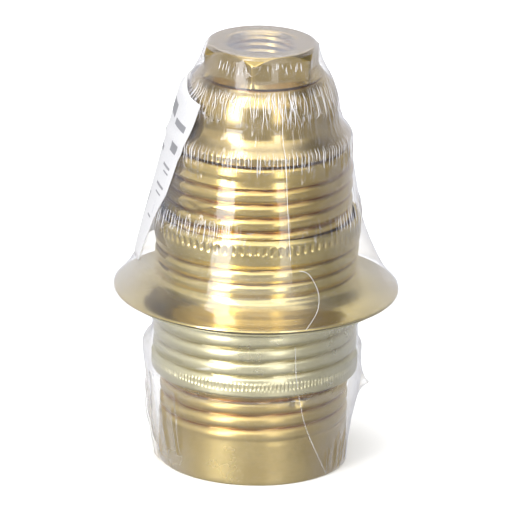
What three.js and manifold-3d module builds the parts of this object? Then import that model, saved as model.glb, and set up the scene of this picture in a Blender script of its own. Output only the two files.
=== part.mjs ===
// Threaded brass lampholder for small screw-base lamps, in its retail shrink wrap.
//
// Millimetres, +Z up. The origin is on the lamp axis, in the plane of the mouth that the part stands on.
// From the bottom: barrel with a rounded outside thread, two shade rings that run on it with their
// flanges face to face, and a drawn cap with a hexagonal cable entry. The barrel holds a ceramic insert
// with the lamp's screw shell, its centre contact and two screw terminals; the cap holds the earth
// terminal. A clear film hat, a clear film sleeve and a paper label are wrapped round it.

import * as THREE from 'three';
import { mergeVertices } from 'three/addons/utils/BufferGeometryUtils.js';
import Module from 'manifold-3d';

const wasm = await Module();
wasm.setup();

// ---------------------------------------------------------------- driving dimensions

const GAP = 0.3;                  // clearance left between touching pieces
const ROUND_SEGMENTS = 36;        // sides of the large turned pieces
const FILM_SEGMENTS = 32;
const INNER_SEGMENTS = 24;
const SMALL_SEGMENTS = 16;        // sides of screws, rivets and their holes

const THREAD_PITCH = 2.2;         // rounded thread of the barrel and the shade rings
const THREAD_CREST_R = 14.05;
const THREAD_DEPTH = 0.55;

const SKIRT_R = 14.0;             // plain end of the barrel
const SKIRT_TOP = 6.8;
const LOWER_ROUNDS_TOP = 13.6;    // the thread is drawn where the rings leave it bare at rest
const UPPER_ROUNDS_BOTTOM = 38.8;
const UPPER_ROUNDS_TOP = 46.9;
const BARREL_INNER_R = 12.95;
const MOUTH_INNER_R = 13.3;
const BARREL_TOP = 49.4;
const BARREL_BEAD_R = 13.55;      // knurled bead at the barrel's top
const BARREL_BEAD_BOTTOM = 47.3;
const LEDGE_R = 11.9;             // inside ledge that the ceramic insert rests on
const LEDGE_BOTTOM = 23.6;
const LEDGE_TOP = 24.7;

const RING_INNER_R = THREAD_CREST_R + 0.35;
const RING_OUTER_R = 15.2;
const RING_BEAD_R = 15.4;         // knurled bead at the ring's plain end
const RING_BEAD_HEIGHT = 2.4;
const RING_ROUND_DEPTH = 0.35;
const UPPER_RIM_Z = 26.4;         // rim of the upper ring's bell flange
const UPPER_RIM_R = 21.2;
const UPPER_BELL = [[19.0, 27.3], [17.0, 27.9], [15.6, 28.6]];
const UPPER_BELL_INSIDE = [[RING_INNER_R, 28.3], [16.4, 27.5], [18.8, 26.8]];
const UPPER_NECK_Z = 29.2;
const UPPER_RING_TOP = 38.7;
const LOWER_RIM_R = 19.8;
const LOWER_RIM_Z = 26.0;
const LOWER_NECK_Z = 23.9;
const LOWER_FLARE = [[16.0, 24.6], [17.6, 25.2]];
const LOWER_RING_BOTTOM = 14.2;
const SHEET = 0.5;                // thickness of the flanges

const CAP_BOTTOM = BARREL_TOP + GAP;
const CAP_BEAD_R = 13.55;
const CAP_BEAD_TOP = 51.3;
const CAP_NECK_Z = 53.7;
const CAP_R = 11.5;
const CAP_TOP = 60.3;
const CAP_SHOULDER = [
  [11.5, 55.6],
  [11.36, 56.8],
  [11.0, 58.0],
  [10.5, 58.95],
  [9.75, 59.8],
  [8.8, 60.2],
];
const CAP_SHOULDER_INSIDE = [
  [8.6, 59.7],
  [9.38, 59.33],
  [10.0, 58.6],
  [10.44, 57.78],
  [10.77, 56.68],
  [10.9, 55.6],
];
const CAP_WALL = 0.6;
const CAP_SPIGOT_R = BARREL_INNER_R - GAP;
const CAP_SPIGOT_BOTTOM = 43.4;
const CAP_ENTRY_HOLE_R = 6.9;

const HEX_CORNER_R = 9.2;         // across corners 18.4, across flats 15.9
const HEX_TURN = THREE.MathUtils.degToRad(262.3);
const HEX_BOTTOM = CAP_TOP + GAP;
const HEX_TOP = 64.9;
const HEX_CHAMFER_R = 7.9;        // radius of the flat top face
const HEX_CHAMFER_DROP = 1.15;    // how far the chamfer falls at a corner
const BUSH_SPIGOT_R = 6.6;
const BUSH_SWAGE = { r: 7.4, bottom: 58.5, top: 59.3 };
const ENTRY_R = 4.75;             // core of the M10 x 1 entry thread

const CERAMIC_R = 12.4;
const CERAMIC_BOTTOM = LEDGE_TOP + GAP;
const CERAMIC_FLOOR = 30.0;       // bottom of the terminal channels
const CERAMIC_TOP = CAP_SPIGOT_BOTTOM - GAP;
const DIVIDER_TOP = 38.0;
const CHANNEL_NEAR = 2.6;         // a terminal channel runs between these distances from the axis
const CHANNEL_FAR = 10.6;

const SHELL_BOTTOM = 7.5;
const SHELL_TOP = CERAMIC_BOTTOM - GAP;
const SHELL_CREST_R = 7.0;        // E14 thread, inside of the sheet
const SHELL_ROOT_R = 6.2;
const SHELL_PITCH = 2.82;
const SHELL_SHEET = 0.4;
const SHELL_FLANGE_R = 10.9;

const TERMINAL_SIZE = { x: 7.3, y: 8.0, z: 5.4 };
const TERMINAL_X = (CHANNEL_NEAR + CHANNEL_FAR) / 2;
const TERMINAL_BOTTOM = CERAMIC_FLOOR + GAP;
const SCREW_R = 1.25;
const SCREW_HEAD_R = 2.3;
const SCREW_HEAD_H = 1.7;
const SCREW_SHANK = 2.9;
const WIRE_HOLE_R = 1.3;

const RIVET_R = 1.0;
const RIVET_HEAD_R = 1.35;
const LIVE_RIVET = { x: 4.4, y: 0 };
const NEUTRAL_RIVET = { x: -9.1, y: 0 };
const PLAIN_RIVET = { x: 4.55, y: -7.88 };

const EARTH_BLOCK = { x: -7.45, sizeX: 4.4, sizeY: 4.2, bottom: 54.2, top: 58.2 };

const FILM = 0.25;                // stand-in thickness of the 0.04 film
const HAT_OUTLINE = [
  [21.0, 25.95],
  [21.75, 26.1],
  [21.8, 27.4],
  [19.6, 29.4],
  [17.4, 33.6],
  [16.1, 38.6],
  [14.8, 46.2],
  [14.25, 51.4],
  [12.6, 53.9],
  [12.15, 56.6],
  [11.6, 58.6],
  [10.6, 60.4],
  [10.05, 61.6],
  [9.95, 63.8],
  [8.6, 65.3],
];
const SLEEVE_OUTLINE = [
  [14.6, 0.3],
  [14.8, 6.4],
  [15.3, 11.0],
  [16.5, 13.6],
  [16.6, 15.4],
  [16.0, 18.6],
  [16.0, 23.2],
];
const LABEL_OUTLINE = [[19.85, 30.0], [13.45, 56.8]];
const LABEL_START = THREE.MathUtils.degToRad(100);
const LABEL_SWEEP = THREE.MathUtils.degToRad(110);

// ---------------------------------------------------------------- materials

const brass = new THREE.MeshStandardMaterial({ color: 0xb99a5b, roughness: 0.28, metalness: 1.0 });
const paleBrass = new THREE.MeshStandardMaterial({ color: 0xbdb07e, roughness: 0.3, metalness: 1.0 });
const innerBrass = new THREE.MeshStandardMaterial({ color: 0xb08d4a, roughness: 0.35, metalness: 1.0 });
const steel = new THREE.MeshStandardMaterial({ color: 0xb8bab8, roughness: 0.35, metalness: 1.0 });
const ceramic = new THREE.MeshStandardMaterial({ color: 0xe9e4d8, roughness: 0.4, metalness: 0.0 });
const fibre = new THREE.MeshStandardMaterial({ color: 0xd9d2c2, roughness: 0.7, metalness: 0.0 });
const paper = new THREE.MeshStandardMaterial({ color: 0xf4f4f2, roughness: 0.8, metalness: 0.0 });
const film = new THREE.MeshStandardMaterial({
  color: 0xd8dbe6, roughness: 0.12, metalness: 0.0, transparent: true, opacity: 0.3,
});

// ---------------------------------------------------------------- shape helpers

// Solid of revolution about Z. The closed outline is listed as [radius, height], up the outside and
// back down the inside.
function turned(outline, segments) {
  const points = outline.map(([r, z]) => new THREE.Vector2(r, z));
  points.push(points[0].clone());
  const geometry = new THREE.LatheGeometry(points, segments);
  geometry.rotateX(Math.PI / 2);
  return geometry;
}

// Solid of revolution whose outline starts and ends on the axis.
function turnedSolid(outline, segments) {
  const points = outline.map(([r, z]) => new THREE.Vector2(r, z));
  const geometry = new THREE.LatheGeometry(points, segments);
  geometry.rotateX(Math.PI / 2);
  return geometry;
}

function disc(radius, bottom, top, segments) {
  return turnedSolid([[0, bottom], [radius, bottom], [radius, top], [0, top]], segments);
}

function box(x0, x1, y0, y1, z0, z1) {
  const geometry = new THREE.BoxGeometry(x1 - x0, y1 - y0, z1 - z0);
  geometry.translate((x0 + x1) / 2, (y0 + y1) / 2, (z0 + z1) / 2);
  return geometry;
}

function solid(geometry) {
  const plain = geometry.index ? geometry.toNonIndexed() : geometry.clone();
  plain.deleteAttribute('normal');
  plain.deleteAttribute('uv');
  const merged = mergeVertices(plain, 1e-5);
  return new wasm.Manifold(new wasm.Mesh({
    numProp: 3,
    vertProperties: new Float32Array(merged.attributes.position.array),
    triVerts: new Uint32Array(merged.index.array),
  }));
}

function surface(manifold) {
  const mesh = manifold.getMesh();
  const geometry = new THREE.BufferGeometry();
  geometry.setAttribute('position', new THREE.BufferAttribute(new Float32Array(mesh.vertProperties), 3));
  geometry.setIndex(new THREE.BufferAttribute(new Uint32Array(mesh.triVerts), 1));
  geometry.computeVertexNormals();
  return geometry;
}

// Points of a rounded sheet-metal thread, drawn as rings, going up from z0 to z1.
function rounds(z0, z1, crest, depth, pitch) {
  const count = Math.floor((z1 - z0) / pitch);
  const step = (z1 - z0) / count;
  const points = [[crest - depth, z0]];
  for (let i = 0; i < count; i += 1) {
    const z = z0 + i * step;
    points.push([crest, z + step * 0.3], [crest, z + step * 0.7], [crest - depth, z + step]);
  }
  return points;
}

// A thin skin of revolution: the outer outline going up, and the same line set back by a thickness.
function skin(outer, thickness, segments) {
  const inner = outer.map((point, i) => {
    const before = outer[Math.max(i - 1, 0)];
    const after = outer[Math.min(i + 1, outer.length - 1)];
    const run = after[0] - before[0];
    const rise = after[1] - before[1];
    const length = Math.hypot(run, rise);
    return [point[0] - (rise / length) * thickness, point[1] + (run / length) * thickness];
  });
  return turned([...outer, ...inner.reverse()], segments);
}

const object = new THREE.Group();

function add(name, geometry, material, position = [0, 0, 0]) {
  const mesh = new THREE.Mesh(geometry, material);
  mesh.name = name;
  mesh.position.set(...position);
  object.add(mesh);
  return mesh;
}

// ---------------------------------------------------------------- barrel

function makeBarrel() {
  const plainR = THREAD_CREST_R - THREAD_DEPTH / 2;
  return turned([
    [MOUTH_INNER_R, 0],
    [SKIRT_R - 0.15, 0],
    [SKIRT_R, 0.15],
    [SKIRT_R, SKIRT_TOP - 0.3],
    ...rounds(SKIRT_TOP, LOWER_ROUNDS_TOP, THREAD_CREST_R, THREAD_DEPTH, THREAD_PITCH),
    [plainR, LOWER_ROUNDS_TOP + 0.3],
    [plainR, UPPER_ROUNDS_BOTTOM - 0.3],
    ...rounds(UPPER_ROUNDS_BOTTOM, UPPER_ROUNDS_TOP, THREAD_CREST_R, THREAD_DEPTH, THREAD_PITCH),
    [BARREL_BEAD_R, BARREL_BEAD_BOTTOM],
    [BARREL_BEAD_R, BARREL_TOP - 0.2],
    [BARREL_BEAD_R - 0.2, BARREL_TOP],
    [BARREL_INNER_R, BARREL_TOP],
    [BARREL_INNER_R, LEDGE_TOP],
    [LEDGE_R, LEDGE_TOP],
    [LEDGE_R, LEDGE_BOTTOM],
    [BARREL_INNER_R, LEDGE_BOTTOM],
    [BARREL_INNER_R, SKIRT_TOP],
    [MOUTH_INNER_R, SKIRT_TOP],
  ], ROUND_SEGMENTS);
}

// ---------------------------------------------------------------- shade rings

// Bell flange opening downwards, rounds above it and a knurled bead at the top.
function makeUpperRing() {
  const beadBottom = UPPER_RING_TOP - RING_BEAD_HEIGHT;
  return turned([
    [UPPER_RIM_R - 0.5, UPPER_RIM_Z],
    [UPPER_RIM_R, UPPER_RIM_Z],
    [UPPER_RIM_R, UPPER_RIM_Z + SHEET],
    ...UPPER_BELL,
    ...rounds(UPPER_NECK_Z, beadBottom, RING_OUTER_R, RING_ROUND_DEPTH, THREAD_PITCH),
    [RING_BEAD_R, beadBottom + 0.3],
    [RING_BEAD_R, UPPER_RING_TOP - 0.3],
    [RING_BEAD_R - 0.3, UPPER_RING_TOP],
    [RING_INNER_R, UPPER_RING_TOP],
    ...UPPER_BELL_INSIDE,
  ], ROUND_SEGMENTS);
}

// Flat-topped flange that meets the upper ring's bell, rounds and a knurled bead below it.
function makeLowerRing() {
  const beadTop = LOWER_RING_BOTTOM + RING_BEAD_HEIGHT;
  return turned([
    [RING_INNER_R, LOWER_RING_BOTTOM],
    [RING_BEAD_R - 0.3, LOWER_RING_BOTTOM],
    [RING_BEAD_R, LOWER_RING_BOTTOM + 0.3],
    [RING_BEAD_R, beadTop - 0.3],
    ...rounds(beadTop, LOWER_NECK_Z, RING_OUTER_R, RING_ROUND_DEPTH, THREAD_PITCH),
    ...LOWER_FLARE,
    [LOWER_RIM_R, LOWER_RIM_Z - SHEET],
    [LOWER_RIM_R, LOWER_RIM_Z],
    [RING_INNER_R, LOWER_RIM_Z],
  ], ROUND_SEGMENTS);
}

// ---------------------------------------------------------------- cap and cable entry

function makeCap() {
  const innerR = CAP_R - CAP_WALL;
  const spigotInnerR = CAP_SPIGOT_R - CAP_WALL;
  return turned([
    [spigotInnerR, CAP_SPIGOT_BOTTOM],
    [CAP_SPIGOT_R, CAP_SPIGOT_BOTTOM],
    [CAP_SPIGOT_R, CAP_BOTTOM],
    [CAP_BEAD_R - 0.2, CAP_BOTTOM],
    [CAP_BEAD_R, CAP_BOTTOM + 0.2],
    [CAP_BEAD_R, CAP_BEAD_TOP - 0.3],
    [CAP_BEAD_R - 0.35, CAP_BEAD_TOP],
    [12.35, 52.4],
    [CAP_R + 0.12, CAP_NECK_Z - 0.5],
    [CAP_R, CAP_NECK_Z],
    ...CAP_SHOULDER,
    [8.3, CAP_TOP],
    [CAP_ENTRY_HOLE_R, CAP_TOP],
    [CAP_ENTRY_HOLE_R, CAP_TOP - CAP_WALL],
    ...CAP_SHOULDER_INSIDE,
    [innerR, CAP_NECK_Z - 0.3],
    [spigotInnerR, 51.6],
  ], ROUND_SEGMENTS);
}

// Hexagonal bush with a chamfered crown; its spigot passes the cap's roof and is swaged under it.
function makeEntryBush() {
  const corners = [];
  for (let i = 0; i < 6; i += 1) {
    const angle = HEX_TURN + (i * Math.PI) / 3;
    corners.push(new THREE.Vector2(HEX_CORNER_R * Math.cos(angle), HEX_CORNER_R * Math.sin(angle)));
  }
  const prism = new THREE.ExtrudeGeometry(new THREE.Shape(corners), {
    depth: HEX_TOP - HEX_BOTTOM, bevelEnabled: false,
  });
  prism.translate(0, 0, HEX_BOTTOM);
  const crown = turnedSolid([
    [0, HEX_BOTTOM - 1],
    [HEX_CORNER_R, HEX_BOTTOM - 1],
    [HEX_CORNER_R, HEX_TOP - HEX_CHAMFER_DROP],
    [HEX_CHAMFER_R, HEX_TOP],
    [0, HEX_TOP],
  ], ROUND_SEGMENTS);
  const spigot = turnedSolid([
    [0, BUSH_SWAGE.bottom],
    [BUSH_SWAGE.r, BUSH_SWAGE.bottom],
    [BUSH_SWAGE.r, BUSH_SWAGE.top],
    [BUSH_SPIGOT_R, BUSH_SWAGE.top],
    [BUSH_SPIGOT_R, HEX_BOTTOM + 0.5],
    [0, HEX_BOTTOM + 0.5],
  ], INNER_SEGMENTS);
  const bore = turnedSolid([
    [0, BUSH_SWAGE.bottom - 1],
    [ENTRY_R, BUSH_SWAGE.bottom - 1],
    [ENTRY_R, HEX_TOP - 0.5],
    [ENTRY_R + 1.5, HEX_TOP + 1],
    [0, HEX_TOP + 1],
  ], INNER_SEGMENTS);
  return surface(solid(prism).intersect(solid(crown)).add(solid(spigot)).subtract(solid(bore)));
}

// ---------------------------------------------------------------- inside the barrel

function makeCeramic() {
  const body = solid(disc(CERAMIC_R, CERAMIC_BOTTOM, CERAMIC_TOP, ROUND_SEGMENTS));
  const reach = CERAMIC_R + 2;
  const rightChannel = solid(box(CHANNEL_NEAR, CHANNEL_FAR, -reach, reach, CERAMIC_FLOOR, reach * 4));
  const leftChannel = solid(box(-CHANNEL_FAR, -CHANNEL_NEAR, -reach, reach, CERAMIC_FLOOR, reach * 4));
  const overDivider = solid(box(-CHANNEL_NEAR - 1, CHANNEL_NEAR + 1, -reach, reach, DIVIDER_TOP, reach * 4));
  let insert = body.subtract(rightChannel).subtract(leftChannel).subtract(overDivider);
  for (const place of [LIVE_RIVET, NEUTRAL_RIVET, PLAIN_RIVET]) {
    const hole = disc(RIVET_R + GAP, CERAMIC_BOTTOM - 1, CERAMIC_FLOOR + 1, SMALL_SEGMENTS);
    hole.translate(place.x, place.y, 0);
    insert = insert.subtract(solid(hole));
  }
  return surface(insert);
}

// Fibre tube that keeps the live shell off the barrel, with a lip that hides the shell's edge.
function makeLiner() {
  const outerR = BARREL_INNER_R - GAP;
  return turned([
    [8.4, 4.2],
    [outerR - 0.2, 4.2],
    [outerR, 4.4],
    [outerR, LEDGE_BOTTOM - GAP],
    [outerR - 0.8, LEDGE_BOTTOM - GAP],
    [outerR - 0.8, 5.1],
    [8.4, 5.1],
  ], INNER_SEGMENTS);
}

// Rolled sheet shell with the lamp's thread and a flange riveted under the ceramic.
function makeShell() {
  const threadTop = SHELL_TOP - 1.6;
  const count = Math.floor((threadTop - SHELL_BOTTOM) / SHELL_PITCH);
  const outer = [];
  const inner = [];
  for (let i = 0; i <= count * 2; i += 1) {
    const z = SHELL_BOTTOM + (i * SHELL_PITCH) / 2;
    const r = i % 2 === 0 ? SHELL_CREST_R : SHELL_ROOT_R;
    outer.push([r + SHELL_SHEET, z]);
    inner.push([r, z]);
  }
  const flangeHoles = [NEUTRAL_RIVET, PLAIN_RIVET].map((place) => {
    const hole = disc(RIVET_R + GAP, SHELL_TOP - 2, SHELL_TOP + 1, SMALL_SEGMENTS);
    hole.translate(place.x, place.y, 0);
    return solid(hole);
  });
  let shell = solid(turned([
    ...outer,
    [SHELL_CREST_R + SHELL_SHEET, SHELL_TOP - SHELL_SHEET],
    [SHELL_FLANGE_R, SHELL_TOP - SHELL_SHEET],
    [SHELL_FLANGE_R, SHELL_TOP],
    [SHELL_CREST_R, SHELL_TOP],
    ...inner.reverse(),
  ], INNER_SEGMENTS));
  for (const hole of flangeHoles) {
    shell = shell.subtract(hole);
  }
  return surface(shell);
}

function makeRivet(headTop) {
  return turnedSolid([
    [0, headTop - 0.6],
    [RIVET_HEAD_R - 0.4, headTop - 0.6],
    [RIVET_HEAD_R, headTop - 0.2],
    [RIVET_HEAD_R, headTop],
    [RIVET_R, headTop],
    [RIVET_R, CERAMIC_FLOOR],
    [0, CERAMIC_FLOOR],
  ], SMALL_SEGMENTS);
}

// Spring leaf under the ceramic, drawn from the side and extruded across its width.
function makeContactLeaf() {
  const width = 4.2;
  const thick = 0.35;
  const top = CERAMIC_BOTTOM - GAP;
  const side = new THREE.Shape();
  side.moveTo(5.6, top);
  side.lineTo(3.0, top);
  side.lineTo(1.6, top - 1.5);
  side.lineTo(-1.4, top - 1.9);
  side.lineTo(-2.4, top - 1.3);
  side.lineTo(-2.4, top - 1.3 - thick);
  side.lineTo(-1.4, top - 1.9 - thick);
  side.lineTo(1.5, top - 1.5 - thick);
  side.lineTo(2.8, top - thick);
  side.lineTo(5.6, top - thick);
  side.closePath();
  const leaf = new THREE.ExtrudeGeometry(side, { depth: width, bevelEnabled: false });
  leaf.rotateX(Math.PI / 2);
  leaf.translate(0, width / 2, 0);
  const hole = disc(RIVET_R + GAP, top - 2, top + 1, SMALL_SEGMENTS);
  hole.translate(LIVE_RIVET.x, LIVE_RIVET.y, 0);
  return surface(solid(leaf).subtract(solid(hole)));
}

function makeTerminal() {
  const { x, y, z } = TERMINAL_SIZE;
  const body = solid(box(-x / 2, x / 2, -y / 2, y / 2, 0, z));
  const screwHole = solid(disc(SCREW_R + GAP, z - SCREW_SHANK - GAP, z + 1, SMALL_SEGMENTS));
  const wireHole = disc(WIRE_HOLE_R, -y, y, SMALL_SEGMENTS);
  wireHole.rotateX(Math.PI / 2);
  wireHole.translate(0, 0, 2.0);
  return surface(body.subtract(screwHole).subtract(solid(wireHole)));
}

// Slotted screw standing on its tip, with its head on top.
function makeScrew(shank) {
  const top = shank + GAP + SCREW_HEAD_H;
  const body = solid(turnedSolid([
    [0, 0],
    [SCREW_R - 0.3, 0],
    [SCREW_R, 0.3],
    [SCREW_R, shank + GAP],
    [SCREW_HEAD_R, shank + GAP],
    [SCREW_HEAD_R, top - 0.4],
    [SCREW_HEAD_R - 0.4, top],
    [0, top],
  ], SMALL_SEGMENTS));
  const slot = solid(box(-0.35, 0.35, -3, 3, top - 0.8, top + 1));
  return surface(body.subtract(slot));
}

function makeEarthBlock() {
  const { x, sizeX, sizeY, bottom, top } = EARTH_BLOCK;
  const body = solid(box(x - sizeX / 2, x + sizeX / 2, -sizeY / 2, sizeY / 2, bottom, top));
  const hole = disc(SCREW_R + GAP, bottom - 1, bottom + SCREW_SHANK, SMALL_SEGMENTS);
  hole.translate(x, 0, 0);
  return surface(body.subtract(solid(hole)));
}

// ---------------------------------------------------------------- wrapping

// Film tent: from round the bell's rim, over both beads and the cap, to the edge of the entry face.
function makeWrapHat() {
  return skin(HAT_OUTLINE, FILM, FILM_SEGMENTS);
}

// Film sleeve: loose round the lower ring, drawn in round the barrel's plain end.
function makeWrapSleeve() {
  return skin(SLEEVE_OUTLINE, FILM, FILM_SEGMENTS);
}

// Paper label on the left and back of the tent.
function makeLabel() {
  const cone = skin(LABEL_OUTLINE, FILM, FILM_SEGMENTS);
  const steps = 6;
  const reach = 40;
  const corners = [new THREE.Vector2(0, 0)];
  for (let i = 0; i <= steps; i += 1) {
    const angle = LABEL_START + (LABEL_SWEEP * i) / steps;
    corners.push(new THREE.Vector2(reach * Math.cos(angle), reach * Math.sin(angle)));
  }
  const wedge = new THREE.ExtrudeGeometry(new THREE.Shape(corners), { depth: 60, bevelEnabled: false });
  return surface(solid(cone).intersect(solid(wedge)));
}

// ---------------------------------------------------------------- assembly

add('barrel', makeBarrel(), brass);
add('upper_shade_ring', makeUpperRing(), brass);
add('lower_shade_ring', makeLowerRing(), paleBrass);
add('cap', makeCap(), brass);
add('entry_bush', makeEntryBush(), brass);

add('ceramic_insert', makeCeramic(), ceramic);
add('insulating_liner', makeLiner(), fibre);
add('screw_shell', makeShell(), innerBrass);
add('contact_leaf', makeContactLeaf(), innerBrass);

const leafBottom = CERAMIC_BOTTOM - GAP - 0.35;
const flangeBottom = SHELL_TOP - SHELL_SHEET;
add('contact_rivet', makeRivet(leafBottom - GAP), innerBrass, [LIVE_RIVET.x, LIVE_RIVET.y, 0]);
add('shell_rivet_neutral', makeRivet(flangeBottom - GAP), innerBrass, [NEUTRAL_RIVET.x, NEUTRAL_RIVET.y, 0]);
add('shell_rivet_plain', makeRivet(flangeBottom - GAP), innerBrass, [PLAIN_RIVET.x, PLAIN_RIVET.y, 0]);

const screwZ = TERMINAL_BOTTOM + TERMINAL_SIZE.z - SCREW_SHANK;
for (const [name, side] of [['live', 1], ['neutral', -1]]) {
  add(`terminal_${name}`, makeTerminal(), innerBrass, [side * TERMINAL_X, 0, TERMINAL_BOTTOM]);
  add(`terminal_screw_${name}`, makeScrew(SCREW_SHANK), steel, [side * TERMINAL_X, 0, screwZ]);
}

add('earth_block', makeEarthBlock(), innerBrass);
const earthShank = SCREW_SHANK - GAP;
const earthScrew = add('earth_screw', makeScrew(earthShank), steel);
earthScrew.rotation.x = Math.PI;
earthScrew.position.set(EARTH_BLOCK.x, 0, EARTH_BLOCK.bottom + earthShank);

add('wrap_hat', makeWrapHat(), film);
add('wrap_sleeve', makeWrapSleeve(), film);
add('label', makeLabel(), paper);

export default object;
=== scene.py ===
"""Looks for the threaded brass lampholder in its shrink wrap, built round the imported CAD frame.

Lengths in this script are millimetres on the lamp axis (+Z up, front is -Y) until a mesh is made,
which turns them into metres. Azimuths are in degrees from the front, positive to the right.
"""

import math

import bpy
import numpy as np
from mathutils import Matrix, Vector


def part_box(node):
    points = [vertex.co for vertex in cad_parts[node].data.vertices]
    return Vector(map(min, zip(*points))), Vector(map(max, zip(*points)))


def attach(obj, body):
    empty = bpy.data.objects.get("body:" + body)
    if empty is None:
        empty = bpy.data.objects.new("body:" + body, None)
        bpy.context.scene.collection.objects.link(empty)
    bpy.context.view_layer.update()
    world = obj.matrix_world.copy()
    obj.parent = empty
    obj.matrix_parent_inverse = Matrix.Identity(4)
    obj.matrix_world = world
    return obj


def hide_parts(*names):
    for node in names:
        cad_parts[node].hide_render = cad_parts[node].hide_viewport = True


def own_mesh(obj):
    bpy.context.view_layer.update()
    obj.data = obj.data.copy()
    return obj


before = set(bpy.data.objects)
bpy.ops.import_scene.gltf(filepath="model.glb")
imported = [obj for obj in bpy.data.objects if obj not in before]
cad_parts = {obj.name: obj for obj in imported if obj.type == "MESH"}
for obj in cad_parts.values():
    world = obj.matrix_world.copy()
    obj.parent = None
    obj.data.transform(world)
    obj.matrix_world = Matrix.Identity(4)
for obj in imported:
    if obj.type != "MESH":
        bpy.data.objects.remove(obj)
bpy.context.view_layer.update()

MM = 0.001
TURN = 2 * math.pi


def low_mm(node):
    return np.array(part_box(node)[0]) / MM


def high_mm(node):
    return np.array(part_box(node)[1]) / MM


# ------------------------------------------------------------------ sizes

COLUMNS = 360                    # points round a large turned piece
CAP_KNURLS = 90                  # ridges round each knurled bead
UPPER_KNURLS = 80
LOWER_KNURLS = 160
FINE = 0.2                       # row spacing where there is a thread or a knurl
COARSE = 0.6

THREAD_PITCH = 2.2               # rounded sheet-metal thread of the barrel and the rings
THREAD_DEPTH = 0.55
CREST_R = high_mm("barrel")[0]
SKIRT_R = 14.0
SKIRT_TOP = 6.8
BARREL_TOP = high_mm("barrel")[2]
BARREL_BEAD_R = 13.55
BARREL_BEAD_BOTTOM = 47.3
BARREL_INNER_R = 12.95
MOUTH_R = 13.3                   # inside radius of the barrel's mouth
LEDGE_R = 11.9                   # ledge inside the barrel
LEDGE_BOTTOM = 23.5
LEDGE_TOP = 24.8

RING_BEAD_HEIGHT = 2.4
RING_BEAD_R = 15.4
RING_OUTER_R = 15.2
RING_INNER_R = CREST_R + 0.3
UPPER_TOP = high_mm("upper_shade_ring")[2]
UPPER_RIM_Z = low_mm("upper_shade_ring")[2]
UPPER_RIM_R = high_mm("upper_shade_ring")[0]
LOWER_RIM_Z = high_mm("lower_shade_ring")[2]
LOWER_RIM_R = high_mm("lower_shade_ring")[0]
LOWER_BOTTOM = low_mm("lower_shade_ring")[2]

CAP_LOW = low_mm("cap")
CAP_HIGH = high_mm("cap")
CAP_BEAD_R = CAP_HIGH[0]
CAP_BEAD_BOTTOM = BARREL_TOP + 0.3
CAP_BEAD_TOP = 51.3
CAP_R = 11.5
CAP_TOP = CAP_HIGH[2]
CAP_THREAD_PITCH = 1.5

HEX_TOP = high_mm("entry_bush")[2]
HEX_BOTTOM = CAP_TOP + 0.3
HEX_CORNER_R = 9.2
HEX_TURN = -7.7                  # azimuth of the corner nearest the front
HEX_CHAMFER_R = 7.9
HEX_CHAMFER_DROP = 2.1           # the rows of the chamfer start this far under the top
BORE_THREAD_PITCH = 1.0

# ------------------------------------------------------------------ camera

VIEW_ELEVATION = 19.0
VIEW_DISTANCE = 1.5
VIEW_ROLL = 1.39                 # the holder leans a little to the right in the frame
VIEW_WIDTH = 0.0763              # what the frame spans at the object
AIM = (-0.00012, 0.0, 0.03135)


def make_camera():
    data = bpy.data.cameras.new("camera")
    data.sensor_width = 36.0
    data.lens = data.sensor_width * VIEW_DISTANCE / VIEW_WIDTH
    data.clip_start = 0.1
    data.clip_end = 50.0
    camera = bpy.data.objects.new("camera", data)
    bpy.context.scene.collection.objects.link(camera)
    tilt = math.radians(VIEW_ELEVATION)
    camera.location = (
        AIM[0],
        AIM[1] - VIEW_DISTANCE * math.cos(tilt),
        AIM[2] + VIEW_DISTANCE * math.sin(tilt),
    )
    aimed = Matrix.Rotation(math.pi / 2 - tilt, 3, "X")
    rolled = aimed @ Matrix.Rotation(math.radians(VIEW_ROLL), 3, "Z")
    camera.rotation_euler = rolled.to_euler()
    bpy.context.scene.camera = camera


make_camera()

# ------------------------------------------------------------------ node helpers


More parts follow.
